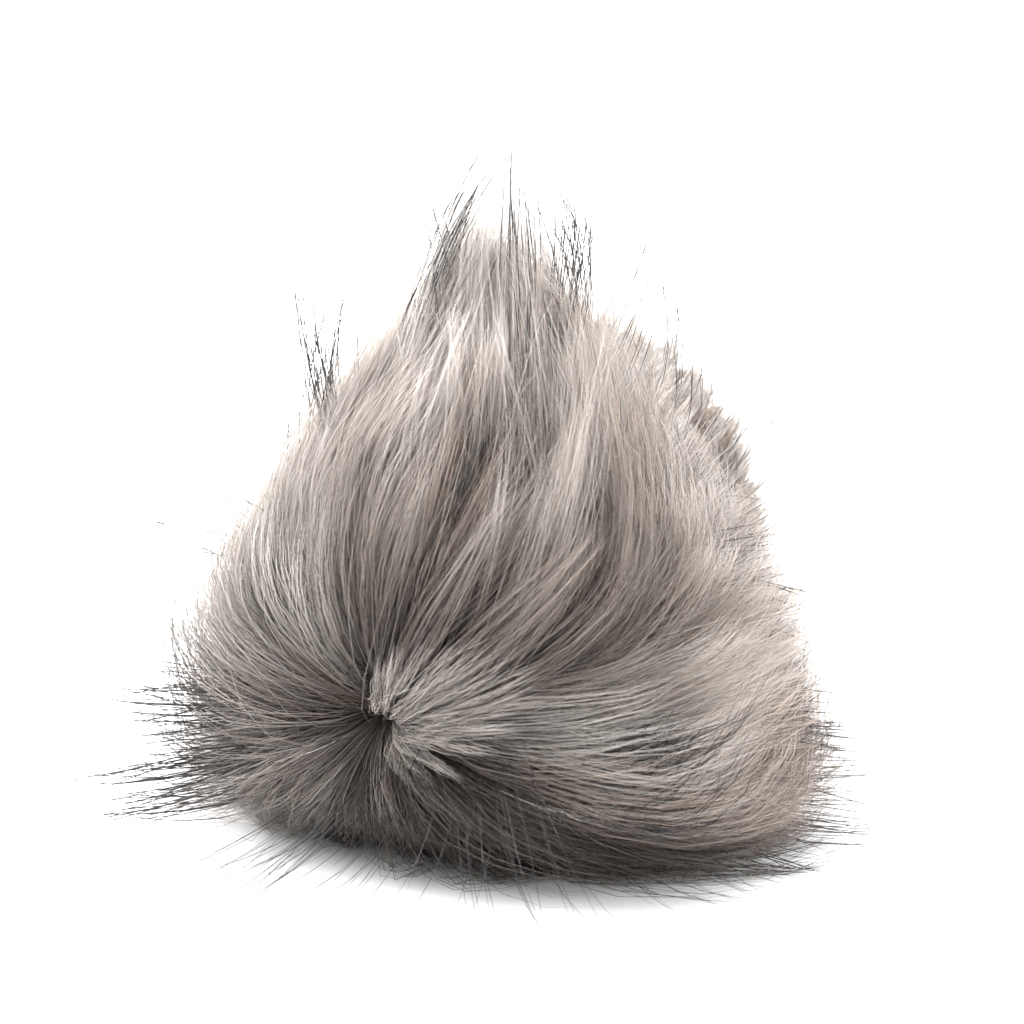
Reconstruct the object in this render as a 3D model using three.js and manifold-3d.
// A furry windscreen for a compact microphone: a long-pile fur cover sewn from four gores, drawn in
// round its mouth by a cord with a sprung cord lock, over an open-cell foam core with a rubber grip
// collar that holds the microphone's barrel.
//
// Millimetres, +Z up. The windscreen lies on its side: its own axis runs along Y at height AXIS_Z,
// the closed crown faces -Y and the mouth faces +Y. Front means -Y, rear +Y, right +X. The origin
// is on the surface it rests on, straight below the drawcord in the mouth. Lengths along the axis
// are measured from the middle of the ball, and the whole assembly is then moved by -MOUTH_Y.

import * as THREE from 'three';
import { mergeVertices } from 'three/addons/utils/BufferGeometryUtils.js';
import Module from 'manifold-3d';

// ---- driving dimensions ---------------------------------------------------------------------
const AXIS_Z = 28.0; // height of the windscreen's axis above the surface
const MOUTH_Y = 24.0; // the drawcord's plane

const MIC_R = 10.0; // the microphone barrel it takes
const SOCKET_R = MIC_R + 0.6; // bore of the grip collar between its lips
const LIP_R = MIC_R + 0.1; // bore at the collar's lips
const LIP_YS = [21.5, 15.5, 9.5];
const COLLAR_SLEEVE_R = 12.5;
const COLLAR_FLANGE_R = 17.3;
const COLLAR_FRONT_Y = 5.0;
const COLLAR_FLANGE_Y = 23.9; // the flange's front face
const COLLAR_REAR_Y = 27.0;
const COLLAR_GAP = 0.4; // between the collar and the foam

const FOAM_R = 17.0;
const FOAM_FRONT_Y = -20.4;
const FOAM_REAR_Y = COLLAR_FLANGE_Y - COLLAR_GAP;
const FOAM_BORE_R = 10.4;
const FOAM_BORE_END_Y = -10.0;
const FOAM_COUNTERBORE_R = COLLAR_SLEEVE_R + COLLAR_GAP;
const FOAM_COUNTERBORE_Y = COLLAR_FRONT_Y - COLLAR_GAP;

const LINING_GAP = 0.6; // between the foam and the lining, and between the lining and the fur
const LINING_T = 0.6;
const LINING_RI = FOAM_R + LINING_GAP;
const LINING_RO = LINING_RI + LINING_T;
const LINING_REAR_Y = 21.0;

const GORE_SEAMS = [15, 100, 195, 280]; // degrees round the axis, 0 at +X and 90 at +Z
const SEAM_GAP = 1.6; // room for the seam between two gores
const THREAD_R = 0.38;
const CROWN_HOLE_R = 3.0;
const CROWN_FRONT_Y = -31.6; // the fur's edge round the crown hole
const FUR_RI = LINING_RO + LINING_GAP;
const SKIRT_T = 1.6; // thickness of the skirt where it is pressed on the surface

const HEM_FRONT_Y = 21.7;
const HEM_REAR_Y = 28.6;
const HEM_RI = 18.2;
const HEM_RO = 24.8;
const HEM_WALL = 0.8;
const HEM_SLOT_HALF = 0.7; // half the width of the slot in the hem's front wall
const HEM_GAP = 0.5; // between the fur's backing and the hem's front

const CORD_R = 0.8;
const CORD_LOOP_R = 21.5;
const EYELET_DEG = [222, 240]; // left, right
const EYELET_HOLE_R = 1.85;

const LOCK_X = -18.0; // centre of the cord lock, which lies on its side across the cord's tails
const LOCK_Y = 56.0;
const LOCK_Z = 6.4;
const LOCK_R = 6.3;
const LOCK_BORE_R = 4.9;
const PLUNGER_R = 4.72;
const PLUNGER_TRAVEL = 2.4;
const SLOT = { x: -0.6, width: 4.4, length: 30, height: 4.4 }; // width runs along the lock's axis

const TAIL_X = LOCK_X - 1.8; // both tails pass the lock here, one above the other
const TAIL_DZ = 1.0; // from the lock's axis to each tail
const TAIL_BEND_Y = 31.2; // the tails start to bend towards the lock here
const TAIL_STRAIGHT_Y = 44.5;
const TAIL_END_Y = 77.5;

const BELL_FRONT_Y = 71.5;
const BELL_REAR_Y = 82.6;

// ---- materials ------------------------------------------------------------------------------
const material = (settings) => new THREE.MeshStandardMaterial(settings);
const FUR = material({ color: 0xa59d98, roughness: 0.9, metalness: 0 });
const THREAD = material({ color: 0x8f8985, roughness: 0.8, metalness: 0 });
const LINING = material({ color: 0x2b2a2b, roughness: 0.85, metalness: 0 });
const TAPE = material({ color: 0x1f1f20, roughness: 0.8, metalness: 0 });
const FOAM = material({ color: 0x2a2a2c, roughness: 0.95, metalness: 0 });
const RUBBER = material({ color: 0x18181a, roughness: 0.6, metalness: 0 });
const CORD = material({ color: 0x1a1a1b, roughness: 0.75, metalness: 0 });
const PLASTIC = material({ color: 0x161617, roughness: 0.45, metalness: 0 });
const PLUNGER = material({ color: 0x202022, roughness: 0.4, metalness: 0 });
const STEEL = material({ color: 0xb9bcc0, roughness: 0.3, metalness: 1.0 });
const EYELET = material({ color: 0x8d9094, roughness: 0.35, metalness: 1.0 });
const LABEL = material({ color: 0x2a2a2c, roughness: 0.8, metalness: 0 });

// ---- solids and meshes ------------------------------------------------------------------------
const wasm = await Module();
wasm.setup();

// A manifold from a closed geometry, turned right side out if its faces point inwards.
function solid(geometry) {
  const flat = geometry.index ? geometry.toNonIndexed() : geometry;
  const bare = new THREE.BufferGeometry().setAttribute('position', flat.getAttribute('position'));
  const merged = mergeVertices(bare, 1e-4);
  const index = merged.index.array;
  const triangles = [];
  for (let i = 0; i < index.length; i += 3) {
    const [a, b, c] = [index[i], index[i + 1], index[i + 2]];
    if (a !== b && b !== c && a !== c) triangles.push([a, b, c]);
  }
  const make = (faces) =>
    new wasm.Manifold(
      new wasm.Mesh({
        numProp: 3,
        vertProperties: new Float32Array(merged.attributes.position.array),
        triVerts: new Uint32Array(faces.flat()),
      }),
    );
  const made = make(triangles);
  return made.volume() > 0 ? made : make(triangles.map(([a, b, c]) => [a, c, b]));
}

function geometryOf(manifold) {
  const { numVert, numProp, vertProperties, triVerts } = manifold.getMesh();
  const positions = new Float32Array(numVert * 3);
  for (let i = 0; i < numVert; i++) {
    positions.set(vertProperties.subarray(i * numProp, i * numProp + 3), i * 3);
  }
  const geometry = new THREE.BufferGeometry();
  geometry.setAttribute('position', new THREE.BufferAttribute(positions, 3));
  geometry.setIndex(new THREE.BufferAttribute(new Uint32Array(triVerts), 1));
  geometry.computeVertexNormals();
  return geometry;
}

const root = new THREE.Group();
root.name = 'furry_windscreen';
const windscreen = new THREE.Group();
windscreen.position.y = -MOUTH_Y;
root.add(windscreen);

// Adds a named mesh of a geometry or a manifold.
function add(name, shape, meshMaterial, parent = windscreen) {
  const manifold = shape.isBufferGeometry ? solid(shape) : shape;
  const mesh = new THREE.Mesh(geometryOf(manifold), meshMaterial);
  mesh.name = name;
  parent.add(mesh);
}

// ---- shape helpers ----------------------------------------------------------------------------
const rad = THREE.MathUtils.degToRad;
const onCircle = (radius, angle) => [radius * Math.cos(angle), radius * Math.sin(angle)];

// A point at a radius and an angle in degrees round the windscreen's axis.
function polar(radius, deg, y) {
  const [x, z] = onCircle(radius, rad(deg));
  return new THREE.Vector3(x, y, AXIS_Z + z);
}

// A profile of [radius, y] pairs turned about the Y axis. A profile off the axis closes on itself.
function turned(profile, segments) {
  const points = profile.map(([radius, y]) => new THREE.Vector2(radius, y));
  const onAxis = profile[0][0] === 0 && profile.at(-1)[0] === 0;
  if (!onAxis) points.push(points[0].clone());
  return new THREE.LatheGeometry(points, segments);
}

const raised = (geometry) => geometry.translate(0, 0, AXIS_Z);

// Profile points of a quarter circle, from its tip on the axis to its full radius.
function dome(radius, tipY, steps) {
  return Array.from({ length: steps + 1 }, (_, i) => {
    const angle = (i / steps) * (Math.PI / 2);
    return [radius * Math.sin(angle), tipY + radius * (1 - Math.cos(angle))];
  });
}

function polygon(corners) {
  const shape = new THREE.Shape(corners.map(([x, y]) => new THREE.Vector2(x, y)));
  shape.closePath();
  return shape;
}

function tube(points, { radius, steps, sides, closed = false }) {
  const corners = Array.from({ length: sides }, (_, i) =>
    onCircle(radius, (i / sides) * Math.PI * 2),
  );
  const extrudePath = new THREE.CatmullRomCurve3(points, closed, 'centripetal');
  return new THREE.ExtrudeGeometry(polygon(corners), { steps, extrudePath, bevelEnabled: false });
}

// ---- the fur cover --------------------------------------------------------------------------
// [degrees above the horizontal, reach of the pile from the axis], the same on both sides: low and
// broad where it spreads on the surface, drawn up to a soft point at the top.
const PILE = [
  [-90, 32.5], [-70, 33.5], [-50, 38.5], [-32, 43.0], [-15, 42.5], [0, 40.5],
  [20, 38.5], [38, 37.5], [52, 38.5], [65, 41.5], [78, 46.5], [90, 52.0],
];
const ROUND_REACH = 40; // the shell is turned to this reach, then scaled to the pile's

// [share of the pile's reach, y] from the crown to the end of the skirt that hangs over the mouth
const OUTSIDE = [
  [0.22, -34.6], [0.44, -33.4], [0.63, -29.8], [0.79, -23.5], [0.91, -14.5], [0.98, -4.5],
  [1.0, 5.0], [0.99, 15.0], [0.95, 24.5], [0.89, 32.0], [0.82, 37.5],
];

// [radius, y] of the backing's inner face, from the skirt's end back to the crown
const SKIRT_RI = 26.0;
const INSIDE = [
  [29.6, 38.5], [27.4, 33.0], [SKIRT_RI, 29.4],
  [SKIRT_RI, HEM_FRONT_Y - HEM_GAP], [FUR_RI, HEM_FRONT_Y - HEM_GAP],
  [FUR_RI, 8.0], [FUR_RI, -3.6], [18.0, -9.3], [15.9, -13.9], [12.7, -17.9], [8.6, -20.7],
  [CROWN_HOLE_R, -22.3],
];

// The pile's reach at an angle from -90 to 90, between a straight and a smooth blend of stations.
function pileReach(deg) {
  const next = PILE.findIndex(([stationDeg], i) => i > 0 && deg <= stationDeg);
  const [fromDeg, fromReach] = PILE[next - 1];
  const [toDeg, toReach] = PILE[next];
  const linear = (deg - fromDeg) / (toDeg - fromDeg);
  const smooth = linear * linear * (3 - 2 * linear);
  return fromReach + (toReach - fromReach) * (0.5 * smooth + 0.5 * linear);
}

function furShell() {
  const outside = OUTSIDE.map(([share, y]) => [share * ROUND_REACH, y]);
  const profile = [[CROWN_HOLE_R, CROWN_FRONT_Y], ...outside, ...INSIDE];
  const geometry = turned(profile, 44);
  const rowCount = profile.length + 1; // the turned profile repeats its first point
  const position = geometry.attributes.position;
  for (let i = 0; i < position.count; i++) {
    const row = i % rowCount;
    const isPile = row >= 1 && row <= OUTSIDE.length;
    const x = position.getX(i);
    const z = position.getZ(i);
    const deg = THREE.MathUtils.radToDeg(Math.atan2(z, Math.abs(x)));
    const scale = isPile ? pileReach(deg) / ROUND_REACH : 1;
    // the pile lies flat on the surface, and the skirt keeps its thickness under the mouth
    const floor = isPile ? 0 : SKIRT_T;
    position.setXYZ(i, x * scale, position.getY(i), Math.max(z * scale + AXIS_Z, floor));
  }
  return solid(geometry);
}

// The sector between two seams, each side held back from the seam's middle by half the gap.
function sector(fromDeg, toDeg) {
  const halfAngle = rad(toDeg - fromDeg) / 2;
  const middle = rad((fromDeg + toDeg) / 2);
  const [tipX, tipY] = onCircle(SEAM_GAP / 2 / Math.sin(halfAngle), middle);
  const far = 160; // well beyond the pile
  const length = 200;
  const sideEnd = (deg) => {
    const [x, y] = onCircle(far, rad(deg));
    return [tipX + x, tipY + y];
  };
  const corners = [[tipX, tipY], sideEnd(fromDeg), onCircle(far * 1.5, middle), sideEnd(toDeg)];
  const geometry = new THREE.ExtrudeGeometry(polygon(corners), {
    depth: length,
    bevelEnabled: false,
  });
  geometry.rotateX(Math.PI / 2); // the shape's Y becomes Z, and it runs along -Y
  geometry.translate(0, length / 2, AXIS_Z);
  return solid(geometry);
}

function addGores() {
  const shell = furShell();
  // each gore starts at the seam of the same index
  ['upper_right', 'upper_left', 'lower_left', 'lower_right'].forEach((place, i) => {
    const toDeg = GORE_SEAMS[i + 1] ?? GORE_SEAMS[0] + 360;
    add('fur_gore_' + place, shell.intersect(sector(GORE_SEAMS[i], toDeg)), FUR);
  });
}

// [radius, y] along a seam's middle, from the crown to the mouth
const SEAM_LINE = [
  [5.6, -24.4], [9.8, -22.6], [14.2, -19.4], [17.7, -15.0], [19.9, -10.0], [20.9, -4.0],
  [21.0, 4.0], [21.0, 12.0], [21.0, 19.6],
];

// A thread that waves in and out about the seam line.
function seamThread(deg) {
  const wave = 0.45;
  const steps = 26;
  const line = new THREE.CatmullRomCurve3(
    SEAM_LINE.map(([radius, y]) => new THREE.Vector3(radius, y, 0)),
  );
  const points = [];
  for (let i = 0; i <= steps; i++) {
    const at = line.getPointAt(i / steps);
    points.push(polar(at.x + (i % 2 ? wave : -wave), deg, at.y));
  }
  return tube(points, { radius: THREAD_R, steps: 39, sides: 4 });
}

function addSeamThreads() {
  ['right', 'top', 'left', 'bottom'].forEach((place, i) => {
    add('seam_thread_' + place, seamThread(GORE_SEAMS[i]), THREAD);
  });
}

// The tack at the crown: a thread coiled round the axis, narrowing as it runs rearwards.
function crownTack() {
  const coil = { turns: 2.5, points: 40, radius: 1.9, shrink: 0.012, frontY: -26.6, rise: 0.085 };
  const points = [];
  for (let i = 0; i < coil.points; i++) {
    const deg = (i / coil.points) * 360 * coil.turns;
    points.push(polar(coil.radius - coil.shrink * i, deg, coil.frontY + i * coil.rise));
  }
  return tube(points, { radius: 0.34, steps: 70, sides: 4 });
}

// ---- the lining -----------------------------------------------------------------------------
function liningSock() {
  const innerTipY = FOAM_FRONT_Y - LINING_GAP;
  const profile = [
    ...dome(LINING_RO, innerTipY - LINING_T, 8),
    [LINING_RO, LINING_REAR_Y],
    [LINING_RI, LINING_REAR_Y],
    ...dome(LINING_RI, innerTipY, 8).reverse(),
  ];
  return raised(turned(profile, 36));
}

// ---- the hem and its drawcord -----------------------------------------------------------------
// A hollow ring round the cord, slotted along its front wall and pierced at the rear for the tails.
function hemTape() {
  const frontInner = HEM_FRONT_Y + HEM_WALL;
  const rearInner = HEM_REAR_Y - HEM_WALL;
  const profile = [
    [HEM_RI, HEM_FRONT_Y], [HEM_RI, HEM_REAR_Y], [HEM_RO, HEM_REAR_Y], [HEM_RO, HEM_FRONT_Y],
    [CORD_LOOP_R + HEM_SLOT_HALF, HEM_FRONT_Y], [CORD_LOOP_R + HEM_SLOT_HALF, frontInner],
    [HEM_RO - HEM_WALL, frontInner], [HEM_RO - HEM_WALL, rearInner],
    [HEM_RI + HEM_WALL, rearInner], [HEM_RI + HEM_WALL, frontInner],
    [CORD_LOOP_R - HEM_SLOT_HALF, frontInner], [CORD_LOOP_R - HEM_SLOT_HALF, HEM_FRONT_Y],
  ];
  let hem = solid(raised(turned(profile, 40)));
  for (const deg of EYELET_DEG) {
    const at = polar(CORD_LOOP_R, deg, HEM_REAR_Y);
    const hole = new THREE.CylinderGeometry(EYELET_HOLE_R, EYELET_HOLE_R, 4.0, 20);
    hem = hem.subtract(solid(hole.translate(at.x, at.y, at.z)));
  }
  return hem;
}

// A closed zigzag of thread just outside the hem.
function hemStitching() {
  const stitch = { count: 56, radius: 25.4, y: 25.6, wave: 0.5 };
  const points = [];
  for (let i = 0; i < stitch.count; i++) {
    const y = stitch.y + (i % 2 ? stitch.wave : -stitch.wave);
    points.push(polar(stitch.radius, (i / stitch.count) * 360, y));
  }
  return tube(points, { radius: 0.25, steps: 112, sides: 4, closed: true });
}

// [radius, y] about each eyelet's own axis
const EYELET_PROFILE = [
  [1.1, 26.5], [1.5, 26.5], [1.5, 28.9], [2.15, 28.9],
  [2.3, 29.05], [2.2, 29.3], [1.35, 29.4], [1.1, 29.2],
];
const WASHER_PROFILE = [[1.8, 27.1], [2.35, 27.1], [2.35, 27.5], [1.8, 27.5]];

function addEyelets() {
  ['left', 'right'].forEach((side, i) => {
    const at = polar(CORD_LOOP_R, EYELET_DEG[i], 0);
    add('eyelet_' + side, turned(EYELET_PROFILE, 20).translate(at.x, 0, at.z), EYELET);
    add('eyelet_washer_' + side, turned(WASHER_PROFILE, 20).translate(at.x, 0, at.z), EYELET);
  });
}

// One tail from the loop, out through its eyelet and past the lock. The cord leaves the loop on
// the side of the eyelet given by direction, +1 or -1 for a larger or smaller angle.
function cordTail(eyeletDeg, direction, endZ) {
  const eyelet = polar(CORD_LOOP_R, eyeletDeg, 0);
  const bendEndY = TAIL_STRAIGHT_Y - 0.5;
  const points = [
    polar(CORD_LOOP_R, eyeletDeg + direction * 3.6, MOUTH_Y + 0.3),
    polar(CORD_LOOP_R, eyeletDeg + direction * 0.8, 25.4),
  ];
  for (const y of [27.2, 29.5, TAIL_BEND_Y]) points.push(polar(CORD_LOOP_R, eyeletDeg, y));
  for (const share of [0.15, 0.3, 0.5, 0.7, 0.85]) {
    const eased = share * share * (3 - 2 * share);
    points.push(
      new THREE.Vector3(
        eyelet.x + (TAIL_X - eyelet.x) * eased,
        TAIL_BEND_Y + (bendEndY - TAIL_BEND_Y) * share,
        eyelet.z + (endZ - eyelet.z) * eased,
      ),
    );
  }
  for (const y of [TAIL_STRAIGHT_Y, 50, 57, 64, 71, TAIL_END_Y]) {
    points.push(new THREE.Vector3(TAIL_X, y, endZ));
  }
  return points;
}

// One cord: in along the upper tail, the long way round the mouth, and out along the lower tail.
function drawcord() {
  const [leftDeg, rightDeg] = EYELET_DEG;
  const loopInset = 8.5; // degrees from each eyelet to the plain part of the loop
  const fromDeg = leftDeg - loopInset;
  const toDeg = rightDeg - 360 + loopInset;
  const steps = 34;
  const loop = Array.from({ length: steps + 1 }, (_, i) =>
    polar(CORD_LOOP_R, fromDeg + ((toDeg - fromDeg) * i) / steps, MOUTH_Y),
  );
  const points = [
    ...cordTail(leftDeg, -1, LOCK_Z + TAIL_DZ).reverse(),
    ...loop,
    ...cordTail(rightDeg, 1, LOCK_Z - TAIL_DZ),
  ];
  return tube(points, { radius: CORD_R, steps: 150, sides: 6 });
}

// A blank folded label behind the hem, its open ends next to the hem and its fold to the rear.
function wovenLabel() {
  const deg = 55;
  const length = 9.0; // from the open ends to the fold's centre
  const width = 9.0;
  const foldR = 0.75; // outside of the fold, half the label's thickness
  const foldRi = foldR - 0.45; // less the cloth's thickness
  const quarter = Math.PI / 2;
  const shape = new THREE.Shape();
  shape.moveTo(0, 0);
  shape.lineTo(length, 0);
  shape.absarc(length, foldR, foldR, -quarter, quarter, false);
  shape.lineTo(0, foldR * 2);
  shape.lineTo(0, foldR + foldRi);
  shape.lineTo(length, foldR + foldRi);
  shape.absarc(length, foldR, foldRi, quarter, -quarter, true);
  shape.lineTo(0, foldR - foldRi);
  shape.closePath();
  const geometry = new THREE.ExtrudeGeometry(shape, {
    depth: width,
    bevelEnabled: false,
    curveSegments: 8,
  });
  geometry.translate(0, -foldR, -width / 2);
  geometry.rotateZ(Math.PI / 2); // its length runs along +Y, its thickness along X
  geometry.rotateY(-rad(deg)); // its thickness turns to lie along the radius
  const at = polar(CORD_LOOP_R + 0.2, deg, HEM_REAR_Y + 0.35);
  return geometry.translate(at.x, at.y, at.z);
}

// ---- the foam core and its collar ---------------------------------------------------------------
function foamCore() {
  const rearChamfer = 0.8;
  const boreChamfer = 1.5;
  const profile = [
    ...dome(FOAM_R, FOAM_FRONT_Y, 9),
    [FOAM_R, 10.0],
    [FOAM_R, FOAM_REAR_Y - rearChamfer],
    [FOAM_R - rearChamfer, FOAM_REAR_Y],
    [FOAM_COUNTERBORE_R, FOAM_REAR_Y],
    [FOAM_COUNTERBORE_R, FOAM_COUNTERBORE_Y],
    [FOAM_BORE_R, FOAM_COUNTERBORE_Y],
    [FOAM_BORE_R, FOAM_BORE_END_Y + boreChamfer],
    [FOAM_BORE_R - boreChamfer, FOAM_BORE_END_Y],
    [0, FOAM_BORE_END_Y],
  ];
  return raised(turned(profile, 36));
}

// A sleeve in the foam's counterbore, with a rear flange and lips inside that grip the barrel.
function gripCollar() {
  const lip = (y) => [
    [SOCKET_R, y + 0.9], [LIP_R, y + 0.25], [LIP_R, y - 0.25], [SOCKET_R, y - 0.9],
  ];
  const profile = [
    [COLLAR_SLEEVE_R - 0.5, COLLAR_FRONT_Y], [COLLAR_SLEEVE_R, COLLAR_FRONT_Y + 0.8],
    [COLLAR_SLEEVE_R, COLLAR_FLANGE_Y], [COLLAR_FLANGE_R, COLLAR_FLANGE_Y],
    [COLLAR_FLANGE_R, COLLAR_REAR_Y - 0.8], [COLLAR_FLANGE_R - 0.8, COLLAR_REAR_Y],
    [SOCKET_R + 1.0, COLLAR_REAR_Y], [SOCKET_R, COLLAR_REAR_Y - 1.2],
    ...LIP_YS.flatMap(lip),
    [SOCKET_R, COLLAR_FRONT_Y],
  ];
  return raised(turned(profile, 40));
}

// ---- the cord lock ------------------------------------------------------------------------------
// Its own frame: X along the barrel, the button at -X, the cord running along Y.
// The profiles are [radius, x].
const LOCK_GROOVE_DEPTH = 0.35;
const BARREL_PROFILE = [
  [LOCK_BORE_R, -8.0], [LOCK_BORE_R, 6.9], [0, 6.9], [0, 8.2], [LOCK_R - 1.4, 8.2],
  [LOCK_R - 0.4, 7.6], [LOCK_R, 6.6], [LOCK_R, 4.2], [LOCK_R - LOCK_GROOVE_DEPTH, 3.9],
  [LOCK_R - LOCK_GROOVE_DEPTH, 3.1], [LOCK_R, 2.8], [LOCK_R, -7.4], [LOCK_R - 0.6, -8.0],
];
const PLUNGER_PROFILE = [
  [0, -12.4], [3.6, -12.3], [5.2, -11.9], [6.0, -11.2], [6.0, -10.7], [5.7, -10.5],
  [PLUNGER_R, -10.5], [PLUNGER_R, 0.8], [PLUNGER_R - 0.4, 1.2], [0, 1.2],
];

// A profile turned about X, with the cord's slot cut through it.
function slotted(profile, segments, slotX) {
  const body = solid(turned(profile, segments).rotateZ(-Math.PI / 2));
  const slot = new THREE.BoxGeometry(SLOT.width, SLOT.length, SLOT.height);
  return body.subtract(solid(slot.translate(slotX, 0, 0)));
}

// The coil between the plunger's end and the barrel's closed end. Its first and last turns lie
// close, with a pitch just over the wire's thickness.
function lockSpring() {
  const coil = { startX: 1.72, length: 4.68, radius: 3.2, turns: 4.5, steps: 54 };
  const closePart = 0.2; // share of the wire in each close end
  const closePitch = 0.62; // pitch there, as a share of an even coil's
  const closeReach = closePart * closePitch;
  const advance = (share) => {
    if (share < closePart) return share * closePitch;
    if (share > 1 - closePart) return 1 - (1 - share) * closePitch;
    return closeReach + ((share - closePart) / (1 - 2 * closePart)) * (1 - 2 * closeReach);
  };
  const points = [];
  for (let i = 0; i <= coil.steps; i++) {
    const share = i / coil.steps;
    const [y, z] = onCircle(coil.radius, share * coil.turns * Math.PI * 2);
    points.push(new THREE.Vector3(coil.startX + coil.length * advance(share), y, z));
  }
  return tube(points, { radius: 0.24, steps: 80, sides: 4 });
}

function addCordLock() {
  const lock = new THREE.Group();
  lock.position.set(LOCK_X, LOCK_Y, LOCK_Z);
  windscreen.add(lock);
  add('cord_lock_body', slotted(BARREL_PROFILE, 32, SLOT.x), PLASTIC, lock);
  // at rest the plunger's slot stands off the barrel's by the travel
  const plunger = slotted(PLUNGER_PROFILE, 28, SLOT.x - PLUNGER_TRAVEL);
  add('cord_lock_plunger', plunger, PLUNGER, lock);
  add('cord_lock_spring', lockSpring(), STEEL, lock);
}

// ---- the end of the cord ------------------------------------------------------------------------
// [radius, y] of the hollow bell over the tails' ends, and of the plug in its rear
const BELL_PROFILE = [
  [2.5, BELL_FRONT_Y], [3.6, BELL_FRONT_Y], [4.1, BELL_FRONT_Y + 0.6],
  [5.5, BELL_REAR_Y - 1.8], [5.8, BELL_REAR_Y - 0.8], [5.5, BELL_REAR_Y],
  [4.6, BELL_REAR_Y], [4.4, BELL_REAR_Y - 6.0], [2.5, BELL_REAR_Y - 8.0],
];
const PLUG_PROFILE = [
  [0, BELL_REAR_Y - 3.6], [2.6, BELL_REAR_Y - 3.6], [4.05, BELL_REAR_Y - 2.6],
  [4.2, BELL_REAR_Y - 0.6], [3.9, BELL_REAR_Y - 0.2], [0, BELL_REAR_Y - 0.2],
];

function addCordEnd() {
  add('cord_end_bell', turned(BELL_PROFILE, 28).translate(TAIL_X, 0, LOCK_Z), PLASTIC);
  add('cord_end_plug', turned(PLUG_PROFILE, 24).translate(TAIL_X, 0, LOCK_Z), PLASTIC);
}

// ---- assembly -----------------------------------------------------------------------------------
addGores();
addSeamThreads();
add('crown_tack', crownTack(), THREAD);
add('lining_sock', liningSock(), LINING);
add('hem_tape', hemTape(), TAPE);
add('hem_stitching', hemStitching(), THREAD);
addEyelets();
add('drawcord', drawcord(), CORD);
add('woven_label', wovenLabel(), LABEL);
add('foam_core', foamCore(), FOAM);
add('grip_collar', gripCollar(), RUBBER);
addCordLock();
addCordEnd();

export default root;
